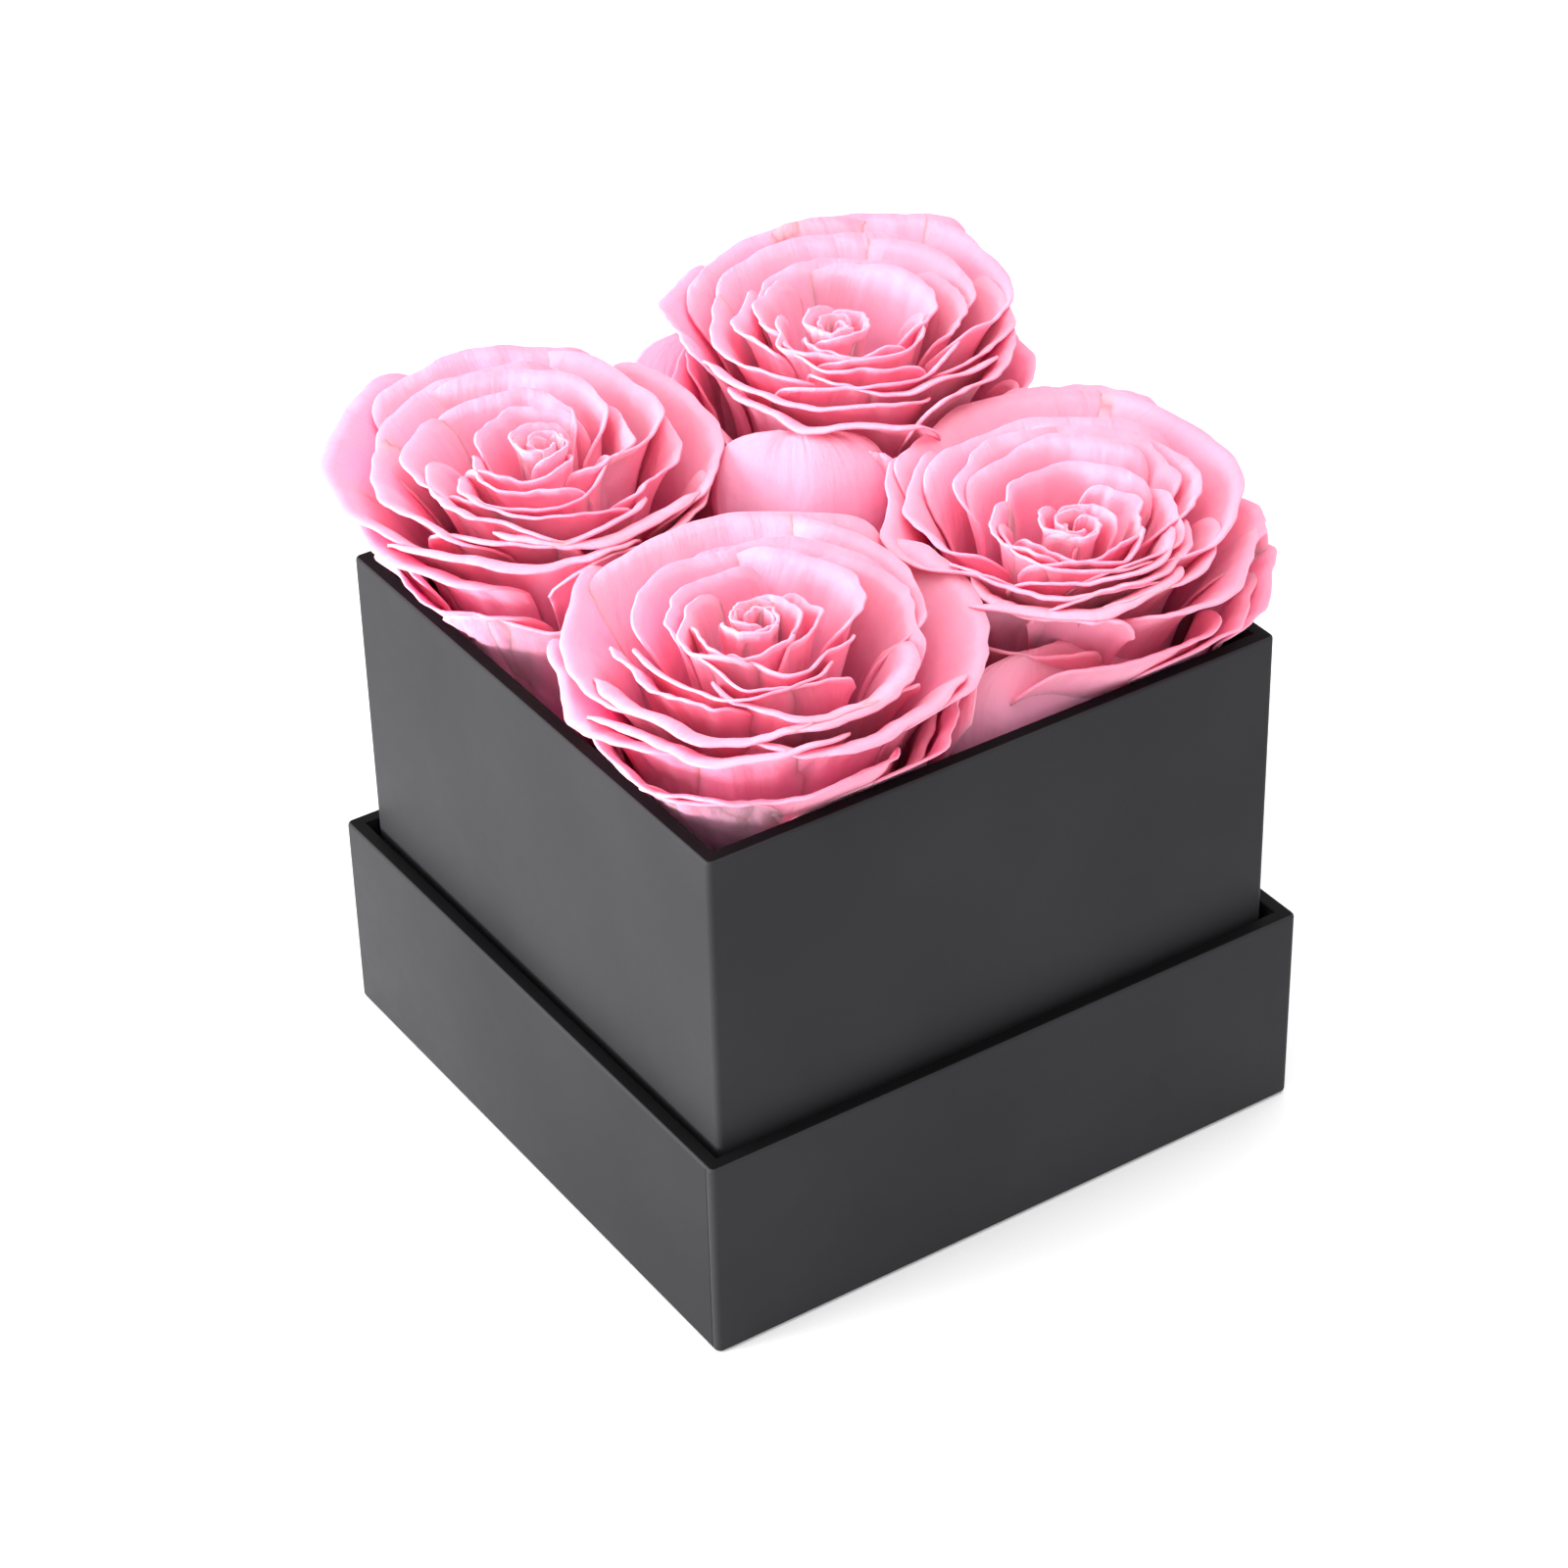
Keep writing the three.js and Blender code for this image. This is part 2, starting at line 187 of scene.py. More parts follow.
@dataclass(frozen=True)
class ArtPaper:
    """Black art paper with a matt film, wrapped and glued over greyboard.

    The board's fibres print through the film as a faint orange peel. Its colour and sheen are slightly
    uneven.
    """

    name: str = "matt_laminated_black_art_paper"
    colour: str = "#2f2f31"
    shade: str = "#2a2a2c"
    roughness: float = 0.48
    fibre_mm: float = 0.5
    peel_mm: float = 3.5
    specular: float = 0.09

    def build(self) -> bpy.types.Material:
        """Makes the material."""
        material, tree = new_material(self.name)
        place = add_node(tree, "ShaderNodeTexCoord").outputs["Object"]
        fibre = add_node(
            tree, "ShaderNodeTexNoise", inputs={"Vector": place, "Scale": 1000 / self.fibre_mm, "Detail": 3.0}
        ).outputs["Fac"]
        peel = add_node(
            tree, "ShaderNodeTexNoise", inputs={"Vector": place, "Scale": 1000 / self.peel_mm, "Detail": 2.0}
        ).outputs["Fac"]
        cloud = add_node(
            tree, "ShaderNodeTexNoise", inputs={"Vector": place, "Scale": 28.0, "Detail": 3.0}
        ).outputs["Fac"]
        colour = ramp(tree, cloud, [(0.3, self.shade), (0.7, self.colour)])
        rough = add_node(
            tree,
            "ShaderNodeMapRange",
            inputs={"Value": peel, "To Min": self.roughness - 0.05, "To Max": self.roughness + 0.05},
        ).outputs["Result"]
        coarse = add_node(
            tree, "ShaderNodeBump", inputs={"Strength": 0.12, "Distance": 0.00012, "Height": peel}
        )
        fine = add_node(
            tree,
            "ShaderNodeBump",
            inputs={"Strength": 0.3, "Distance": 0.00003, "Height": fibre, "Normal": coarse.outputs["Normal"]},
        )
        shader = add_node(
            tree,
            "ShaderNodeBsdfPrincipled",
            inputs={"Base Color": colour, "Roughness": rough, "Normal": fine.outputs["Normal"], "IOR": 1.38},
        )
        shader.inputs["Specular IOR Level"].default_value = self.specular
        add_node(tree, "ShaderNodeOutputMaterial", inputs={"Surface": shader.outputs["BSDF"]})
        return material


@dataclass(frozen=True)
class PlainStock:
    """An uncoated sheet, board or block whose surface is made of fibres or grains.

    The grain shows as speckles of two close colours and a dull, finely rough surface.
    """

    name: str
    colour: str
    fleck: str
    grain_mm: float
    roughness: float = 0.9
    relief_mm: float = 0.05

    def build(self) -> bpy.types.Material:
        """Makes the material."""
        material, tree = new_material(self.name)
        place = add_node(tree, "ShaderNodeTexCoord").outputs["Object"]
        grain = add_node(
            tree, "ShaderNodeTexNoise", inputs={"Vector": place, "Scale": 1000 / self.grain_mm, "Detail": 4.0}
        ).outputs["Fac"]
        colour = ramp(tree, grain, [(0.35, self.fleck), (0.6, self.colour)])
        bump = add_node(
            tree, "ShaderNodeBump", inputs={"Strength": 0.6, "Distance": self.relief_mm * MM, "Height": grain}
        )
        shader = add_node(
            tree,
            "ShaderNodeBsdfPrincipled",
            inputs={"Base Color": colour, "Roughness": self.roughness, "Normal": bump.outputs["Normal"]},
        )
        add_node(tree, "ShaderNodeOutputMaterial", inputs={"Surface": shader.outputs["BSDF"]})
        return material


@dataclass(frozen=True)
class RosePetal:
    """A preserved rose petal: the sap replaced by glycerine and dye, soft, matt and slightly translucent.

    The foot is a stronger and bluer pink than the rest of the petal, and the lowest part darker still: partly
    the petal's own colour, partly painted shade for the bloom's depths. Fine veins and broader pleats fan out
    from it.
    """

    name: str = "preserved_rose_petal"
    # The depth and foot colours darken the lower petal: partly the petal's own deeper colour, partly painted
    # shade for the bloom's depths.
    depth: str = "#f46ca4"
    foot: str = "#f994b9"
    body: str = "#fa9ab5"
    rim: str = "#f998ae"
    vein_mm: float = 0.9
    pleat_mm: float = 4.0

    def build(self) -> bpy.types.Material:
        """Makes the material. Petals carry a map in metres and the attribute "height", 0 at the foot."""
        material, tree = new_material(self.name)
        height = add_node(tree, "ShaderNodeAttribute", {"attribute_name": "height"}).outputs["Fac"]
        sheet = add_node(tree, "ShaderNodeUVMap", {"uv_map": "petal"}).outputs["UV"]
        fan = add_node(
            tree, "ShaderNodeMapping", inputs={"Vector": sheet, "Scale": (1.0, 0.16, 1.0)}
        ).outputs["Vector"]
        veins = add_node(
            tree, "ShaderNodeTexNoise", inputs={"Vector": fan, "Scale": 1000 / self.vein_mm, "Detail": 3.0}
        ).outputs["Fac"]
        mottle = add_node(
            tree, "ShaderNodeTexNoise", inputs={"Vector": sheet, "Scale": 160.0, "Detail": 4.0}
        ).outputs["Fac"]
        shifted = add_node(
            tree, "ShaderNodeMath", {"operation": "MULTIPLY_ADD"}, {0: mottle, 1: 0.16, 2: -0.08}
        ).outputs["Value"]
        level = add_node(
            tree, "ShaderNodeMath", {"operation": "ADD"}, {0: height, 1: shifted}
        ).outputs["Value"]
        # Darker and bluer towards the foot: partly the petal's own colour, partly painted shade.
        colour = ramp(
            tree, level, [(0.3, self.depth), (0.56, self.foot), (0.85, self.body), (1.0, self.rim)]
        )
        pleats = add_node(
            tree, "ShaderNodeTexNoise", inputs={"Vector": fan, "Scale": 1000 / self.pleat_mm, "Detail": 2.0}
        ).outputs["Fac"]
        crease = add_node(
            tree, "ShaderNodeBump", inputs={"Strength": 0.5, "Distance": 0.0009, "Height": pleats}
        )
        bump = add_node(
            tree,
            "ShaderNodeBump",
            inputs={"Strength": 0.4, "Distance": 0.0003, "Height": veins, "Normal": crease.outputs["Normal"]},
        )
        soft = add_node(
            tree,
            "ShaderNodeBump",
            inputs={"Strength": 0.4, "Distance": 0.0008, "Height": mottle, "Normal": bump.outputs["Normal"]},
        )
        shader = add_node(
            tree,
            "ShaderNodeBsdfPrincipled",
            inputs={
                "Base Color": colour,
                "Roughness": 0.62,
                "IOR": 1.4,
                "Subsurface Weight": 0.48,
                "Subsurface Radius": (1.0, 0.26, 0.42),
                "Subsurface Scale": 0.0025,
                "Specular IOR Level": 0.3,
                "Normal": soft.outputs["Normal"],
            },
        )
        add_node(tree, "ShaderNodeOutputMaterial", inputs={"Surface": shader.outputs["BSDF"]})
        return material


@dataclass(frozen=True)
class Petal:
    """One petal of a bloom, given by where its rim is.

    Attributes:
        heading: direction that it faces, anticlockwise from +X seen from above.
        spread: half of the angle that it wraps round the bloom.
        reach: from the bloom's axis to the middle of the rim.
        rise: height of the rim's crest above the bloom's rim level.
        skew: how much nearer the axis its anticlockwise end is than its middle.
        lip: how far its margin rolls outwards.
        point: how far the middle of the rim is drawn outwards to a tip.
        ruffle: depth of the waves along the rim.
    """

    heading: float
    spread: float
    reach: float
    rise: float = 0.0
    skew: float = 0.0
    lip: float = 22.0
    point: float = 1.3
    ruffle: float = 0.5


@dataclass(frozen=True)
class Wave:
    """A pattern of soft noise that bends a petal.

    Attributes:
        seed: what the petal's own seed is multiplied by.
        across: how fine it is from side to side.
        along: how fine it is from foot to rim.
        offset: keeps it apart from the other patterns.
        outwards: how far it moves the petal outwards.
        upwards: how far it moves the petal upwards.
    """

    seed: float
    across: float
    along: float
    offset: float
    outwards: float = 0.0
    upwards: float = 0.0

    def at(self, seed: Vector, s: float, t: float) -> float:
        """The pattern's value at s across the petal and t up it."""
        return noise.noise(seed * self.seed + Vector((s * self.across, t * self.along, self.offset)))


WAVE = Wave(seed=1.0, across=2.2, along=0.7, offset=0.0, outwards=2.4)
RIPPLE = Wave(seed=1.9, across=6.0, along=0.9, offset=3.0, outwards=0.35, upwards=0.3)
SWELL = Wave(seed=2.3, across=2.0, along=0.0, offset=7.0, upwards=1.8)
CRIMP = Wave(seed=3.1, across=7.0, along=3.5, offset=5.0, outwards=0.5)
SEED_STEPS = (0.37, 1.7, 0.11)
END_LIP_LOSS = 0.75
FOOT_WRAP = 0.5
FULL_WRAP_AT = 0.7
FLATTEST_TURN = 60.0
TIP_WIDTH = 0.28


@dataclass
class PetalShape:
    """How the petals of one whorl are cut and bent.

    Attributes:
        foot: radius where the petals leave the receptacle.
        base_slope: slope of the petal at its foot, 90 being upright.
        belly_slope: slope half way up.
        top_slope: slope under the lip.
        lip_share: share of the length that rolls.
        side: how high the petal's sides reach, as a share of its length.
        square: how broad its top is: 2 for a round petal, 8 for one with corners.
        flat: 0 for a petal that follows a circle, 1 for a flat one.
        tuck: how far one end is tucked inside the next petal, and how far the other end stands outside.
        columns: faces across.
        rows: faces from foot to rim.
    """

    foot: float
    base_slope: float = 62.0
    belly_slope: float = 86.0
    top_slope: float = 62.0
    lip_share: float = 0.13
    side: float = 0.78
    square: float = 5.0
    flat: float = 0.1
    tuck: float = 1.8
    columns: int = 40
    rows: int = 26

    def slope(self, along: float, share: float, lip: float) -> float:
        """The slope of a petal.

        Args:
            along: share of the whole length from the foot.
            share: share of this column's own length.
            lip: how far the margin rolls, in degrees.

        Returns:
            The slope in radians.
        """
        body = mix(self.base_slope, self.belly_slope, smooth(along, 0.0, 0.4))
        body = mix(body, self.top_slope, smooth(along, 0.5, 0.9))
        margin = self.lip_share * (1 + lip / 100)
        roll = max(0.0, (share - 1 + margin) / margin)
        return math.radians(body - lip * roll**1.3)

    def column(self, length: float, lip: float) -> list[tuple[float, float]]:
        """One line from foot to rim.

        Args:
            length: this column's share of the petal's length.
            lip: how far the margin rolls, in degrees.

        Returns:
            Distance outwards and upwards at each row, for a petal of length 1.
        """
        steps = 4
        points = [(0.0, 0.0)]
        out = up = 0.0
        count = self.rows * steps
        for i in range(count):
            share = (i + 0.5) / count
            angle = self.slope(share * length, share, lip)
            out += math.cos(angle) * length / count
            up += math.sin(angle) * length / count
            if (i + 1) % steps == 0:
                points.append((out, up))
        return points


DOME_RADIUS = 32


@dataclass
class BloomFrame:
    """Where one rose's head is: its neck, its crown and the dome that its rims lie on.

    Attributes:
        neck: underside of the petals, in the row's frame.
        crown: from the neck to the middle of the rims.
        dome: how much lower the rims are at DOME_RADIUS from the middle.
        nod: how much lower still they are on the side that the head nods to.
        nod_heading: the side that it nods to.
    """

    neck: Vector
    crown: Vector
    dome: float
    nod: float
    nod_heading: float = -123.0

    def drop(self, radius: float, angle: float) -> float:
        """How far a rim lies below the crown at a radius and a heading."""
        towards = math.cos(math.radians(angle - self.nod_heading))
        return (radius / DOME_RADIUS) ** 2 * (self.dome + self.nod * towards)

    def to_row(self, point: Vector) -> Vector:
        """Takes a point from the head's own frame to the row's frame, in millimetres."""
        share = point.z / self.crown.z
        return self.neck + point + Vector((self.crown.x * share, self.crown.y * share, 0))


@dataclass
class BoxRoom:
    """The room inside the box, which presses the petals that grow against its walls.

    Attributes:
        half: half of the room's width.
        rim: the rim's height.
        gap: what is kept free in front of the wall.
        flare: how far petals may lean over the wall for each millimetre above the rim.
        ease: the depth over which the wall slows a petal down.
    """

    half: float
    rim: float
    gap: float = 0.8
    flare: float = 1.1
    ease: float = 2.0

    def press(self, point: Vector) -> Vector:
        """Moves a point that is past a wall, below or just above the rim, back to the wall."""
        limit = self.half - self.gap
        if point.z > self.rim:
            limit += (point.z - self.rim) * self.flare + self.gap * 0.5
        pressed = point.copy()
        for axis in (0, 1):
            over = abs(point[axis]) - (limit - self.ease)
            if over > 0:
                slowed = limit - self.ease + self.ease * (1 - math.exp(-over / self.ease))
                pressed[axis] = math.copysign(slowed, point[axis])
        return pressed


def add_petal(
    bm: bmesh.types.BMesh, petal: Petal, shape: PetalShape, head: BloomFrame, shift: Vector, room: BoxRoom
) -> None:
    """Adds one petal to a whorl's mesh.

    Args:
        bm: the mesh, in millimetres in the row's frame.
        petal: where its rim is.
        shape: how it is cut and bent.
        head: the head that it grows on.
        shift: how far its rim is off the head's axis.
        room: the box's inside.
    """
    maps = bm.loops.layers.uv["petal"]
    heights = bm.verts.layers.float["height"]
    made = bmesh.ops.create_grid(bm, x_segments=shape.columns, y_segments=shape.rows, size=1.0)
    middle = shape.column(1.0, petal.lip)
    crest = max(up for _, up in middle)
    furthest = max(out for out, _ in middle)
    wide = (petal.reach - shape.foot) / furthest
    tall = (head.crown.z + petal.rise) / crest
    sizes = (petal.heading, petal.reach, petal.spread)
    seed = Vector([size * step for size, step in zip(sizes, SEED_STEPS)])
    length = math.hypot(petal.reach, head.crown.z)

    columns: dict[int, list[tuple[float, float]]] = {}
    for i in range(shape.columns + 1):
        s = 2 * i / shape.columns - 1
        share = 1 - (1 - shape.side) * abs(s) ** shape.square
        columns[i] = shape.column(share, petal.lip * (1 - END_LIP_LOSS * abs(s) ** 5))
    for vertex in made["verts"]:
        s, t = vertex.co.x, (vertex.co.y + 1) / 2
        i, j = round((s + 1) / 2 * shape.columns), round(t * shape.rows)
        out, up = columns[i][j]
        radius = shape.foot + wide * out - petal.skew * s * t
        radius -= math.copysign(shape.tuck, petal.skew) * s * abs(s) ** 3 * t
        height = tall * up
        turn = petal.spread * s * mix(FOOT_WRAP, 1.0, smooth(t, 0.0, FULL_WRAP_AT))
        chord = 1 / math.cos(math.radians(min(FLATTEST_TURN, abs(turn))))
        radius *= 1 + shape.flat * t * (chord - 1)
        wave, ripple, swell, crimp = (pattern.at(seed, s, t) for pattern in (WAVE, RIPPLE, SWELL, CRIMP))
        wander = WAVE.outwards * wave + RIPPLE.outwards * ripple
        radius += petal.ruffle * t**2 * wander + CRIMP.outwards * crimp * t
        height += petal.ruffle * t**3 * (SWELL.upwards * swell + RIPPLE.upwards * ripple)
        radius += petal.point * math.exp(-((s / TIP_WIDTH) ** 2)) * t**5
        height -= head.drop(radius, petal.heading + turn) * t
        angle = math.radians(petal.heading + turn)
        local = Vector((radius * math.cos(angle), radius * math.sin(angle), height)) + shift * t
        vertex.co = room.press(head.to_row(local))
        vertex[heights] = t
        for loop in vertex.link_loops:
            loop[maps].uv = (s * radius * math.radians(petal.spread) * MM, t * length * MM)


@dataclass
class Rose:
    """One rose: its own list of petals for each whorl.

    The petals are listed from the rim inwards. For more than half of them, heading, reach and skew began as
    a rim fitted by a separate program and were then rounded or moved by hand. The tight heart is a spiral of
    small petals.

    Attributes:
        place: the corner that it stands in.
        petals: the petals of each whorl.
        guards: shorter petals low on the outside of the head.
        crown_shift: how far the crown is off the top of the CAD model's heart.
        dome: how much lower the rims are at DOME_RADIUS from the middle.
        nod: how much lower still they are on the side that the head nods to.
        heart_shift: how far the heart is off the head's axis.
        heart_turn: heading of the heart's innermost petal.
        heart_reach: reach that the heart's petals grow towards.
        heart_rise: height of the heart above the rim level.
        thickness: thickness of its petals.
        shapes: how the petals of each whorl are cut and bent.
        guard_shape: how the guards are cut and bent.
    """

    place: Place
    petals: dict[Whorl, list[Petal]]
    guards: list[Petal]
    crown_shift: tuple[float, float, float] = (0.0, 0.0, 0.0)
    dome: float = 3.5
    nod: float = 3.0
    heart_shift: tuple[float, float] = (0.0, 0.0)
    heart_turn: float = 0.0
    heart_reach: float = 5.6
    heart_rise: float = 0.5
    thickness: float = 0.4
    shapes: dict[Whorl, PetalShape] = field(
        default_factory=lambda: {
            Whorl.HEART: PetalShape(
                foot=0.8, base_slope=74, belly_slope=90, top_slope=86, lip_share=0.05, side=0.93,
                square=6, flat=0.0, tuck=0.4, columns=24, rows=20,
            ),
            Whorl.INNER: PetalShape(
                foot=2.6, base_slope=66, belly_slope=90, top_slope=82, lip_share=0.06, side=0.9,
                square=8, flat=0.0, tuck=1.0,
            ),
            Whorl.MIDDLE: PetalShape(
                foot=5.0, base_slope=60, belly_slope=88, top_slope=72, lip_share=0.07, side=0.88,
                square=9, flat=0.08,
            ),
            Whorl.OUTER: PetalShape(
                foot=7.6, base_slope=50, belly_slope=82, top_slope=60, lip_share=0.08, side=0.86,
                square=10, flat=0.12,
            ),
        }
    )
    guard_shape: PetalShape = field(
        default_factory=lambda: PetalShape(
            foot=8.6, base_slope=34, belly_slope=84, top_slope=78, lip_share=0.08, side=0.86, square=8,
            flat=0.05, tuck=2.5,
        )
    )

    def head(self) -> BloomFrame:
        """Finds the head's place from the stem and heart of the CAD model."""
        stem_low, stem_high = (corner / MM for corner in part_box(f"rose_{self.place.value}_stem"))
        heart_low, heart_high = (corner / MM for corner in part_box(f"rose_{self.place.value}_heart"))
        neck = Vector(((stem_low.x + stem_high.x) / 2, (stem_low.y + stem_high.y) / 2, heart_low.z))
        top = heart_low + heart_high - neck
        crown = Vector((top.x, top.y, heart_high.z)) + Vector(self.crown_shift)
        return BloomFrame(neck, crown - neck, self.dome, self.nod)

    def spiral(self) -> list[Petal]:
        """The small rolled petals of the heart, from the middle outwards."""
        count = 6
        golden_angle = 137.5
        petals = []
        for i in range(count):
            share = (i + 0.7) / count
            petals.append(
                Petal(
                    heading=self.heart_turn + i * golden_angle,
                    spread=mix(120, 85, share),
                    reach=mix(1.4, self.heart_reach, share),
                    rise=self.heart_rise + mix(-0.6, 0.0, share),
                    skew=mix(0.5, 1.0, share),
                    lip=mix(10, 35, share),
                    point=0.3,
                    ruffle=0.25,
                )
            )
        return petals

    def build(self, material: bpy.types.Material, room: BoxRoom) -> list[bpy.types.Object]:
        """Makes one piece for each whorl.

        Args:
            material: the petals' finish.
            room: the box's inside.

        Returns:
            The pieces.
        """
        head = self.head()
        pieces = []
        for whorl, shape in self.shapes.items():
            bm = bmesh.new()
            bm.loops.layers.uv.new("petal")
            bm.verts.layers.float.new("height")
            for petal in self.petals.get(whorl, []) + (self.spiral() if whorl is Whorl.HEART else []):
                share = max(0.0, 1 - petal.reach / 20)
                shift = Vector((self.heart_shift[0] * share, self.heart_shift[1] * share, 0))
                add_petal(bm, petal, shape, head, shift, room)
            for petal in self.guards if whorl is Whorl.OUTER else []:
                add_petal(bm, petal, self.guard_shape, head, Vector(), room)
            piece = new_mesh_object(f"rose_{self.place.value}_{whorl.value}_visual", bm)
            piece.data.materials.append(material)
            add_thickness(piece, "petal thickness", self.thickness, 0.0)
            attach(piece, "box")
            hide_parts(f"rose_{self.place.value}_{whorl.value}")
            pieces.append(piece)
            log.info("%s: %d faces", piece.name, len(piece.data.polygons))
        return pieces


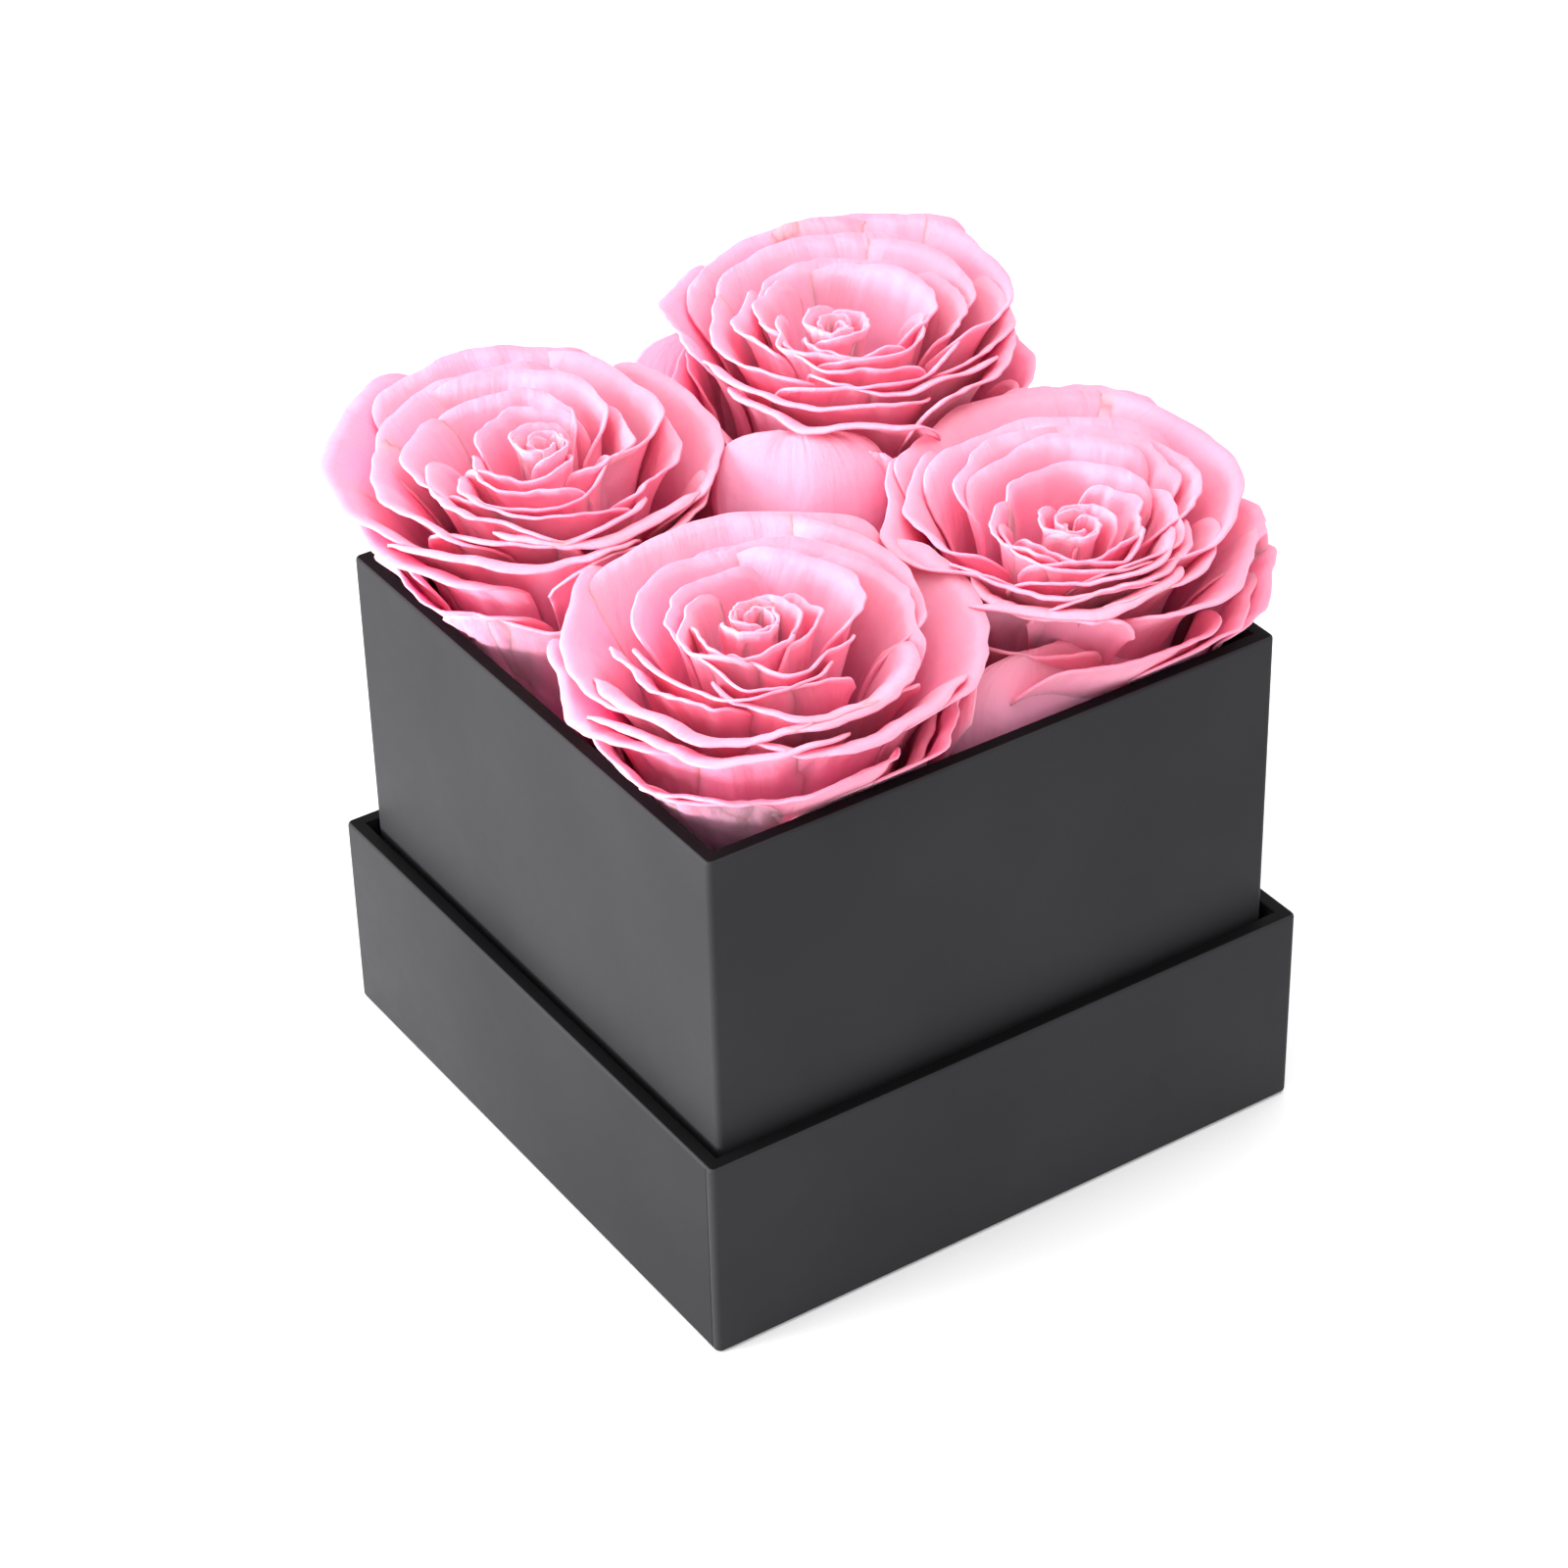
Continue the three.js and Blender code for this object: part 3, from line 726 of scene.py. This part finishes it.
ROSES = [
    Rose(
        Place.FRONT,
        {
            Whorl.OUTER: [
                Petal(147, 48, 28.5, 0.0, 4.5),
                Petal(72, 50, 31.5, 0.0),
                Petal(14, 54, 26.0, 0.5, -6.0),
                Petal(-19, 48, 31.0, 0.0, -2.0),
                Petal(-90, 50, 25.5, 0.0, -2.0, 35),
                Petal(-142, 52, 26.0, 0.0, 1.5, 30),
                Petal(168, 42, 29.0, -2.0, 3.0, 30),
            ],
            Whorl.MIDDLE: [
                Petal(-80, 48, 21.5, 0.3, 0.0, 45),
                Petal(-152, 56, 23.5, 0.3, 2.0, 30),
                Petal(-177, 44, 20.0, 0.3, 2.0),
                Petal(-1, 48, 20.8, 0.5),
                Petal(98, 52, 20.5, 0.5),
                Petal(50, 48, 23.5, 0.0),
                Petal(-108, 58, 18.8, 0.2, -3.0, 40),
            ],
            Whorl.INNER: [
                Petal(-140, 76, 16.5, 0.8, 3.4),
                Petal(13, 66, 16.0, 1.3, -4.6),
                Petal(110, 56, 14.0, 1.3),
                Petal(165, 78, 11.5, 1.3),
                Petal(-140, 82, 8.6, 1.3, 2.0),
                Petal(-33, 74, 7.8, 1.3),
                Petal(-100, 70, 11.0, 0.7, -1.8, 25),
                Petal(-130, 64, 13.6, 0.4, -2.4, 25),
            ],
        },
        [
            Petal(-118, 56, 25.0, -8.0, 0.0, 30, 0.0, 0.9),
            Petal(-70, 52, 25.0, -13.0, 0.0, 30, 0.0, 0.9),
            Petal(-168, 50, 26.0, -9.0, 0.0, 30, 0.0, 0.9),
            Petal(160, 42, 27.0, -9.0, 0.0, 25, 0.0, 0.9),
            Petal(-45, 42, 28.0, -9.0, 0.0, 25, 0.0, 0.9),
            Petal(110, 46, 27.0, -8.0),
            Petal(45, 46, 27.0, -8.0),
            Petal(0, 40, 29.0, -6.0),
        ],
        crown_shift=(0.3, 2.8, 1.3),
        dome=5.5,
        nod=4.0,
        heart_shift=(-1.8, 2.2),
        heart_turn=40,
        heart_rise=1.4,
    ),
    Rose(
        Place.LEFT,
        {
            Whorl.OUTER: [
                Petal(143, 54, 31.5, 0.0, 3.0),
                Petal(80, 42, 31.5, 0.0),
                Petal(-15, 56, 27.5, -0.5, -2.4),
                Petal(-130, 50, 27.0, -0.5, 0.7, 40),
                Petal(-75, 46, 26.0, -1.5, 0.0, 25),
                Petal(185, 46, 29.0, -2.5, 0.0, 30),
            ],
            Whorl.MIDDLE: [
                Petal(-1, 66, 20.5, 0.5, -9.5),
                Petal(-28, 52, 20.8, -0.3, -2.4),
                Petal(172, 52, 24.0, 0.0, 0.0),
                Petal(-115, 56, 22.0, -0.3, 1.0, 30),
                Petal(100, 52, 25.5, 0.0),
                Petal(-158, 54, 19.4, 0.3, -2.2, 35),
                Petal(-96, 50, 24.0, -0.3, -2.0, 45),
            ],
            Whorl.INNER: [
                Petal(43, 64, 18.8, 0.5, -8.0),
                Petal(150, 46, 18.6, 0.0),
                Petal(-107, 78, 14.4, 0.0, 3.5),
                Petal(-33, 62, 13.0, 0.0, -3.4, 25, 1.5),
                Petal(59, 64, 14.0, 0.3, -6.0),
                Petal(83, 74, 9.8, 0.3),
                Petal(-120, 80, 8.7, 0.0, 3.0),
                Petal(-150, 66, 11.4, 0.2, -1.5, 25),
                Petal(-132, 60, 17.2, 0.0, -2.5, 30),
            ],
        },
        [
            Petal(-165, 42, 26.0, -10.0, 0.0, 10),
            Petal(-120, 46, 25.5, -11.0, 0.0, 10),
            Petal(-75, 44, 26.0, -12.0, 0.0, 10),
            Petal(-30, 44, 28.0, -7.0),
            Petal(150, 42, 27.0, -8.0, 0.0, 30, 0.0, 0.9),
            Petal(105, 42, 27.0, -8.0),
            Petal(50, 44, 28.0, -5.0),
            Petal(10, 44, 28.0, -6.0),
        ],
        crown_shift=(-0.9, -2.2, 0.0),
        heart_shift=(0.8, -0.4),
        heart_turn=120,
        heart_reach=5.0,
    ),
    Rose(
        Place.RIGHT,
        {
            Whorl.OUTER: [
                Petal(157, 54, 25.5, 0.0, 5.5, 25, 3.0),
                Petal(82, 44, 33.0, 0.0, 2.0),
                Petal(50, 26, 35.0, 0.0, -1.5, 15, 2.0),
                Petal(-14, 72, 25.5, 0.5, -8.0),
                Petal(-142, 38, 23.5, -1.0, -1.7, 50),
                Petal(-68, 42, 26.0, -2.0, -1.3, 25),
                Petal(-29, 28, 27.5, -3.5, -0.7, 20, 1.0, 0.9),
            ],
            Whorl.MIDDLE: [
                Petal(-136, 56, 20.8, 0.0, 0.3, 30),
                Petal(-75, 48, 21.5, -0.3, 0.0, 20),
                Petal(143, 46, 23.5, 0.0, 5.0),
                Petal(72, 58, 25.0, 0.3),
                Petal(-11, 56, 19.0, 0.0, -5.4),
                Petal(30, 48, 21.0, 0.0, -4.0),
                Petal(-88, 56, 19.0, 0.0, 2.6, 35),
                Petal(-118, 50, 23.2, -0.3, 2.0, 45),
            ],
            Whorl.INNER: [
                Petal(-144, 78, 14.1, 0.0, -1.7),
                Petal(-60, 72, 15.0, 0.0),
                Petal(72, 60, 18.5, 0.5, 0.0),
                Petal(91, 46, 21.5, 0.3, 3.0),
                Petal(60, 70, 13.0, 0.5),
                Petal(170, 60, 12.0, 0.3),
                Petal(-5, 60, 9.5, 0.0),
                Petal(-120, 78, 10.0, 0.0),
                Petal(-100, 66, 12.1, 0.0, 1.8, 25),
                Petal(-100, 60, 17.2, 0.3, 2.4, 30),
            ],
        },
        [
            Petal(-100, 42, 26.0, -8.0, 0.0, 30, 0.0, 0.9),
            Petal(-152, 44, 22.0, -9.0, 0.0, 15),
            Petal(-60, 34, 29.0, -9.0, 0.0, 30, 0.5, 1.1),
            Petal(-25, 32, 29.5, -9.0, 0.0, 30, 1.0, 1.2),
            Petal(15, 44, 30.0, -6.0),
            Petal(60, 44, 30.0, -8.0),
            Petal(105, 44, 28.0, -8.0),
            Petal(155, 44, 26.0, -8.0),
        ],
        crown_shift=(-2.7, 2.6, -1.2),
        heart_shift=(-3.6, -5.0),
        heart_turn=200,
    ),
    Rose(
        Place.BACK,
        {
            Whorl.OUTER: [
                Petal(134, 32, 29.5, 0.0, 2.0, 20, 1.5),
                Petal(90, 44, 30.7, 0.0, 2.0),
                Petal(54, 34, 33.5, 0.3, 0.5),
                Petal(-8, 60, 26.0, 0.5, -9.0),
                Petal(-139, 44, 27.0, -1.0, -1.0, 40),
                Petal(-65, 42, 24.5, -1.0, 1.0, 30),
            ],
            Whorl.MIDDLE: [
                Petal(-40, 52, 22.8, -0.3, -2.5, 20),
                Petal(-146, 58, 24.2, -0.3, 0.4, 30),
                Petal(165, 54, 21.5, 0.0, 2.0),
                Petal(80, 54, 25.0, 0.0),
                Petal(-105, 60, 18.7, 0.0, 1.0, 25),
                Petal(20, 52, 22.5, 0.0, -4.0),
                Petal(-104, 54, 21.0, -0.2, -2.5, 40),
            ],
            Whorl.INNER: [
                Petal(7, 80, 14.6, 0.3, -3.5),
                Petal(-17, 46, 17.2, 0.0, -1.7),
                Petal(149, 42, 17.8, 0.0, 1.0),
                Petal(75, 56, 17.5, 0.3),
                Petal(131, 46, 14.1, 0.3, 1.8),
                Petal(-80, 76, 12.5, 0.0),
                Petal(-170, 74, 11.0, 0.0),
                Petal(-125, 64, 10.0, 0.0, -1.5, 25),
                Petal(-135, 58, 15.1, 0.3, -2.2, 30),
            ],
        },
        [
            Petal(-112, 44, 25.0, -12.0, 0.0, 30),
            Petal(-70, 44, 26.0, -9.0),
            Petal(-160, 44, 27.5, -6.0),
            Petal(-25, 42, 27.0, -8.0),
            Petal(20, 42, 27.0, -8.0),
            Petal(65, 42, 27.0, -8.0),
            Petal(110, 42, 27.0, -8.0),
            Petal(150, 42, 27.0, -8.0),
        ],
        crown_shift=(-3.2, -2.8, 1.2),
        dome=3.0,
        nod=2.5,
        heart_shift=(-6.0, -1.6),
        heart_turn=310,
    ),
]


@dataclass(frozen=True)
class LoosePetal:
    """One loose petal pushed upright into a gap.

    Attributes:
        node: the CAD node that it stands for.
        at: how far its foot is from the middle of the node's foot, in X, Y and Z.
        heading: direction that its convex face looks.
        width: widest part.
        length: from foot to tip.
        cup: depth of its hollow across.
        lean: lean of the whole petal towards its heading.
        curl: bend of its upper half away from its heading.
        thickness: how thick it is.
        foot_share: width of its foot as a share of the widest part.
    """

    node: str
    at: tuple[float, float, float]
    heading: float
    width: float
    length: float
    cup: float
    lean: float = 0.0
    curl: float = 50.0
    thickness: float = 0.4
    foot_share: float = 0.35

    def build(self, material: bpy.types.Material, room: BoxRoom) -> bpy.types.Object:
        """Makes the petal.

        Args:
            material: the petals' finish.
            room: the box's inside.

        Returns:
            The piece.
        """
        low, high = (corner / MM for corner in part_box(self.node))
        foot = Vector(((low.x + high.x) / 2, (low.y + high.y) / 2, low.z)) + Vector(self.at)
        bm = bmesh.new()
        maps = bm.loops.layers.uv.new("petal")
        heights = bm.verts.layers.float.new("height")
        columns, rows = 26, 26
        bmesh.ops.create_grid(bm, x_segments=columns, y_segments=rows, size=1.0)
        spine = [(0.0, 0.0)]
        for j in range(rows):
            angle = math.radians(90 + self.curl * smooth((j + 0.5) / rows, 0.25, 1.0) - self.lean)
            spine.append((spine[-1][0] + math.cos(angle) / rows, spine[-1][1] + math.sin(angle) / rows))
        turn = Matrix.Rotation(math.radians(self.heading), 3, "Z")
        for vertex in bm.verts:
            s, t = vertex.co.x, (vertex.co.y + 1) / 2
            out, up = spine[round(t * rows)]
            flank = mix(self.foot_share, 1.0, smooth(t, 0.0, 0.6))
            crown = math.sqrt(max(0.02, 1 - max(0.0, (t - 0.55) / 0.46) ** 2.4))
            outline = flank * crown
            ripple = noise.noise(Vector((s * 1.7, t * 1.9, self.heading)))
            across = s * outline
            local = Vector(
                (
                    out * self.length - self.cup * across**2 + 0.9 * ripple * t,
                    across * self.width / 2,
                    up * self.length + 0.5 * ripple * t,
                )
            )
            vertex.co = room.press(foot + turn @ local)
            vertex[heights] = 0.35 + 0.65 * t
            for loop in vertex.link_loops:
                loop[maps].uv = (s * self.width * MM / 2, t * self.length * MM)
        piece = new_mesh_object(f"{self.node}_visual", bm)
        piece.data.materials.append(material)
        add_thickness(piece, "petal thickness", self.thickness, 0.0)
        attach(piece, "box")
        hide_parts(self.node)
        log.info("%s: %d faces", piece.name, len(piece.data.polygons))
        return piece


LOOSE_PETALS = [
    LoosePetal(
        "centre_petal_large", (-4.5, -6.5, -1.0), heading=-123, width=27, length=38, cup=8.0, lean=0, curl=74
    ),
    LoosePetal(
        "centre_petal_small", (11.0, 4.0, 2.0), heading=-150, width=13, length=25, cup=3.0, lean=4, curl=20
    ),
    LoosePetal(
        "front_gap_petal", (9.5, -3.0, 7.0), heading=-97, width=34, length=27, cup=3.5, lean=2, curl=34
    ),
    LoosePetal(
        "back_gap_petal", (7.0, 0.5, -3.0), heading=-120, width=28, length=45, cup=5.0, lean=-2, curl=40
    ),
]


@dataclass
class TrayCover:
    """The paper round one tray: its outside, rim, turn-in and the border turned under the base.

    Attributes:
        name: the tray, as its CAD nodes call it.
        wall: from the outside to the turn-in.
        turn_in: how far the paper goes down inside.
        turn_under: how far it goes under the base.
        corner_radius: of the upright corners.
        rim_radius: of the rim's outer fold.
        inner_radius: of the rim's inner fold.
        base_radius: of the fold at the base.
        thickness: of the paper.
        seam_side: 1 for a seam on the +X face near +Y, -1 for one on the -X face near -Y.
        seam_offset: from the seam to the corner beside it.
        seam_gap: width of the seam.
        seam_depth: how far it is sunk.
        flush: how near the rim a face counts as lying on it.
        painted_shade_depth: how far down inside the mouth the paper is painted near black, as painted shade.
    """

    name: str
    wall: float
    turn_in: float
    turn_under: float = 10.0
    corner_radius: float = 1.0
    rim_radius: float = 0.7
    inner_radius: float = 0.35
    base_radius: float = 0.9
    thickness: float = 0.19
    seam_side: int = -1
    seam_offset: float = 1.5
    seam_gap: float = 0.3
    seam_depth: float = 0.05
    flush: float = 0.05
    painted_shade_depth: float = 0.6

    def build(self, material: bpy.types.Material, fold: bpy.types.Material, body: str) -> bpy.types.Object:
        """Makes the cover.

        Args:
            material: the paper.
            fold: the paper made near black, as painted shade on the rim's top and just inside its mouth, and
                as the dark seam.
            body: the body that it rides on.

        Returns:
            The piece.
        """
        low, high = (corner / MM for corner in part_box(f"{self.name}_cover_paper"))
        bm = bmesh.new()
        bmesh.ops.create_cube(bm, size=1.0)
        bmesh.ops.scale(bm, vec=high - low, verts=bm.verts)
        bmesh.ops.translate(bm, vec=(low + high) / 2, verts=bm.verts)
        top = [f for f in bm.faces if f.normal.z > 0.9]
        bmesh.ops.inset_region(bm, faces=top, thickness=self.wall, use_even_offset=True)
        turned = bmesh.ops.extrude_discrete_faces(bm, faces=top)["faces"]
        bmesh.ops.translate(bm, vec=(0, 0, -self.turn_in), verts=turned[0].verts)
        bmesh.ops.delete(bm, geom=turned, context="FACES")
        base = [f for f in bm.faces if f.normal.z < -0.9]
        bmesh.ops.inset_region(bm, faces=base, thickness=self.turn_under, use_even_offset=True)
        bmesh.ops.delete(bm, geom=base, context="FACES")
        self.round_edges(bm, low, high)
        bmesh.ops.recalc_face_normals(bm, faces=bm.faces)
        self.cut_seam(bm, high)
        # Faces on the rim's top and just inside its mouth get the near-black paper: painted shade.
        for face in bm.faces:
            centre = face.calc_center_median()
            inwards = max(abs(centre.x), abs(centre.y)) < high.x - self.wall + self.inner_radius
            on_rim = centre.z > high.z - self.flush and face.normal.z > 0.95
            painted_shade_in_mouth = centre.z > high.z - self.painted_shade_depth and inwards
            if on_rim or painted_shade_in_mouth:
                face.material_index = 1
        piece = new_mesh_object(f"{self.name}_cover_visual", bm)
        piece.data.materials.append(material)
        piece.data.materials.append(fold)
        add_thickness(piece, "paper thickness", self.thickness, -1.0)
        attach(piece, body)
        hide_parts(f"{self.name}_cover_paper")
        log.info("%s: %d faces", piece.name, len(piece.data.polygons))
        return piece

    def cut_seam(self, bm: bmesh.types.BMesh, high: Vector) -> None:
        """Sinks the narrow gap between the two ends of the wrapped paper, beside an upright corner.

        Args:
            bm: the cover, in millimetres.
            high: its highest corner.
        """
        middle = self.seam_side * (high.y - self.seam_offset)
        for edge in (middle - self.seam_gap / 2, middle + self.seam_gap / 2):
            everything = bm.verts[:] + bm.edges[:] + bm.faces[:]
            bmesh.ops.bisect_plane(bm, geom=everything, dist=1e-4, plane_co=(0, edge, 0), plane_no=(0, 1, 0))
        groove = [
            f
            for f in bm.faces
            if abs(f.calc_center_median().y - middle) < self.seam_gap / 2 and f.normal.x * self.seam_side > 0.9
        ]
        bmesh.ops.inset_region(bm, faces=groove, thickness=0.04, depth=-self.seam_depth)
        for face in groove:
            face.material_index = 1

    def round_edges(self, bm: bmesh.types.BMesh, low: Vector, high: Vector) -> None:
        """Rounds the folds: upright corners, rim and base.

        Args:
            bm: the cover, in millimetres.
            low: its lowest corner.
            high: its highest corner.
        """

        def rounded(edges: list, radius: float, segments: int) -> None:
            bmesh.ops.bevel(
                bm,
                geom=edges,
                offset=radius,
                offset_type="OFFSET",
                segments=segments,
                profile=0.5,
                affect="EDGES",
                material=-1,
                clamp_overlap=True,
            )

        def both(edge: bmesh.types.BMEdge, test: Callable[[Vector], bool]) -> bool:
            return all(test(v.co) for v in edge.verts)

        half = high.x
        inner = half - self.wall
        upright = [
            e
            for e in bm.edges
            if both(e, lambda p: abs(abs(p.x) - half) < 0.01 and abs(abs(p.y) - half) < 0.01)
            and abs(e.verts[0].co.z - e.verts[1].co.z) > 1
        ]
        rounded(upright, self.corner_radius, 4)
        rim = [
            e
            for e in bm.edges
            if both(e, lambda p: p.z > high.z - 0.01 and max(abs(p.x), abs(p.y)) > half - self.corner_radius)
            and len(e.link_faces) == 2
        ]
        rounded([e for e in rim if not self.flat_edge(e)], self.rim_radius, 4)
        mouth = [
            e
            for e in bm.edges
            if both(e, lambda p: p.z > high.z - 0.01 and abs(max(abs(p.x), abs(p.y)) - inner) < 0.01)
            and len(e.link_faces) == 2
        ]
        rounded([e for e in mouth if not self.flat_edge(e)], self.inner_radius, 3)
        foot = [
            e
            for e in bm.edges
            if both(e, lambda p: p.z < low.z + 0.01 and max(abs(p.x), abs(p.y)) > half - self.corner_radius)
            and len(e.link_faces) == 2
        ]
        rounded([e for e in foot if not self.flat_edge(e)], self.base_radius, 3)

    @staticmethod
    def flat_edge(edge: bmesh.types.BMEdge) -> bool:
        """True if the two faces of an edge lie in one plane."""
        return edge.calc_face_angle(0.0) < 0.2


@dataclass(frozen=True)
class SoftBox:
    """One rectangular light. Places and sizes are in metres.

    Attributes:
        name: its name.
        place: where it hangs.
        aim: the point that it faces.
        size: its width and height.
        watts: its power.
        colour: its sRGB colour.
    """

    name: str
    place: tuple[float, float, float]
    aim: tuple[float, float, float]
    size: tuple[float, float]
    watts: float
    colour: str = "#ffffff"

    def hang(self) -> None:
        """Makes the light."""
        data = bpy.data.lights.new(self.name, "AREA")
        data.shape = "RECTANGLE"
        data.size, data.size_y = self.size
        data.energy = self.watts
        data.color = linear(self.colour)[:3]
        light = bpy.data.objects.new(self.name, data)
        bpy.context.scene.collection.objects.link(light)
        light.location = self.place
        light.rotation_euler = (Vector(self.place) - Vector(self.aim)).to_track_quat("Z", "Y").to_euler()


SOFT_BOXES = [
    SoftBox("key", place=(-1.6, 0.95, 0.7), aim=(-0.05, -0.02, 0.05), size=(1.7, 0.85), watts=48.0),
    SoftBox("side", place=(-1.2, 0.2, 0.18), aim=(-0.05, 0.0, 0.05), size=(0.45, 0.25), watts=21.0),
    SoftBox("top", place=(0.1, -0.05, 1.1), aim=(0.02, 0, 0.05), size=(1.0, 1.0), watts=8.0),
]


@dataclass
class Studio:
    """A pale floor, soft light mostly from the left, and the camera.

    Attributes:
        lens_mm: focal length on a sensor 36 mm wide.
        azimuth: where the camera stands, 0 being the -Y side and -90 the -X side.
        elevation: how far it looks down.
        roll: how far it is tilted to one side.
        distance: from the aim to the camera, in box widths, as the next three are.
        aim_height: height of the point that it turns round.
        aim_right: how far it is moved to its own right.
        aim_up: how far it is moved to its own top.
        floor_half: half of the floor's width.
        floor_glow: strength of the light that the floor gives by itself.
        world_strength: strength of the light from all sides.
    """

    lens_mm: float = 99.0
    azimuth: float = -32.91
    elevation: float = 34.58
    roll: float = 1.52
    distance: float = 6.7465
    aim_height: float = 0.4
    aim_right: float = -0.0428
    aim_up: float = 0.0882
    floor_half: float = 6000
    floor_glow: float = 0.15
    world_strength: float = 1.14

    def camera(self, width: float) -> None:
        """Makes the camera.

        Args:
            width: the box's width in metres, which the distances are multiples of.
        """
        azimuth, elevation = math.radians(self.azimuth), math.radians(self.elevation)
        back = Vector(
            (
                math.sin(azimuth) * math.cos(elevation),
                -math.cos(azimuth) * math.cos(elevation),
                math.sin(elevation),
            )
        )
        right = Vector((0, 0, 1)).cross(back).normalized()
        up = back.cross(right)
        roll = math.radians(self.roll)
        right, up = (
            right * math.cos(roll) - up * math.sin(roll),
            right * math.sin(roll) + up * math.cos(roll),
        )
        place = Vector((0, 0, self.aim_height * width)) + width * (
            right * self.aim_right + up * self.aim_up + back * self.distance
        )
        data = bpy.data.cameras.new("camera")
        data.lens = self.lens_mm
        data.sensor_width = 36.0
        data.clip_end = 20.0
        camera = bpy.data.objects.new("camera", data)
        bpy.context.scene.collection.objects.link(camera)
        camera.matrix_world = Matrix.Translation(place) @ Matrix((right, up, back)).transposed().to_4x4()
        bpy.context.scene.camera = camera

    def build(self, width: float) -> None:
        """Makes the floor, the lights and the camera.

        Args:
            width: the box's width in metres.
        """
        bm = bmesh.new()
        bmesh.ops.create_grid(bm, x_segments=1, y_segments=1, size=self.floor_half)
        floor = new_mesh_object("floor", bm, rounded=False)
        paint = PlainStock("white_seamless_paper", "#dedede", "#dcdcdc", 0.4, 0.95, 0.01).build()
        glow = next(n for n in paint.node_tree.nodes if n.type == "BSDF_PRINCIPLED")
        glow.inputs["Emission Color"].default_value = linear("#ffffff")
        glow.inputs["Emission Strength"].default_value = self.floor_glow
        floor.data.materials.append(paint)
        world = bpy.data.worlds.new("studio")
        world.use_nodes = True
        world.node_tree.nodes["Background"].inputs["Color"].default_value = linear("#ffffff")
        world.node_tree.nodes["Background"].inputs["Strength"].default_value = self.world_strength
        bpy.context.scene.world = world
        bpy.context.scene.view_settings.view_transform = "Standard"
        for light in SOFT_BOXES:
            light.hang()
        self.camera(width)


def dress_cad_nodes(materials: dict[str, bpy.types.Material]) -> None:
    """Gives each CAD node that stays in view the finish of its material slot."""
    slots = {part["node"]: part["material_slot"] for part in frame["record"]["subparts"]}
    for name, thing in frame["nodes"].items():
        thing.data.materials.clear()
        thing.data.materials.append(materials[slots[name]])


def main() -> None:
    """Builds the scene."""
    logging.basicConfig(level=logging.INFO, format="%(message)s")
    paper = ArtPaper().build()
    petal = RosePetal().build()
    materials = {
        "cover_paper": paper,
        "lining_paper": PlainStock(
            "uncoated_black_lining_paper", "#1d1d1e", "#161617", 0.4, 0.85
        ).build(),
        "greyboard": PlainStock("recycled_greyboard", "#9a948a", "#857f75", 0.6).build(),
        "kraft_tape": PlainStock("gummed_kraft_tape", "#b8945f", "#a5824f", 0.8, 0.8).build(),
        "dry_foam": PlainStock("dry_phenolic_foam", "#66744b", "#4b5636", 0.7, 1.0, 0.3).build(),
        "petal": petal,
        "green_stem": PlainStock("preserved_rose_stem", "#627a45", "#4c6135", 1.2, 0.7, 0.1).build(),
    }
    dress_cad_nodes(materials)

    cover_low, cover_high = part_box("box_cover_paper")
    width = cover_high.x - cover_low.x
    lining_low, lining_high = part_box("box_lining_paper")
    room = BoxRoom(half=lining_high.x / MM, rim=cover_high.z / MM)
    # A near-black, less glossy copy of the paper: painted shade on the rim's top and inside its mouth, and the
    # seam's own dark colour.
    fold = ArtPaper("black_art_paper_with_painted_rim_shade_and_dark_seam", "#0e0e0f", "#0b0b0c", 0.6, specular=0.08).build()
    TrayCover("lid", wall=2.5, turn_in=12.0).build(paper, fold, "lid")
    TrayCover("box", wall=2.5, turn_in=15.0, seam_side=1).build(paper, fold, "box")
    for rose in ROSES:
        rose.build(petal, room)
    for loose in LOOSE_PETALS:
        loose.build(petal, room)
    Studio().build(width)


if __name__ == "__main__":
    main()
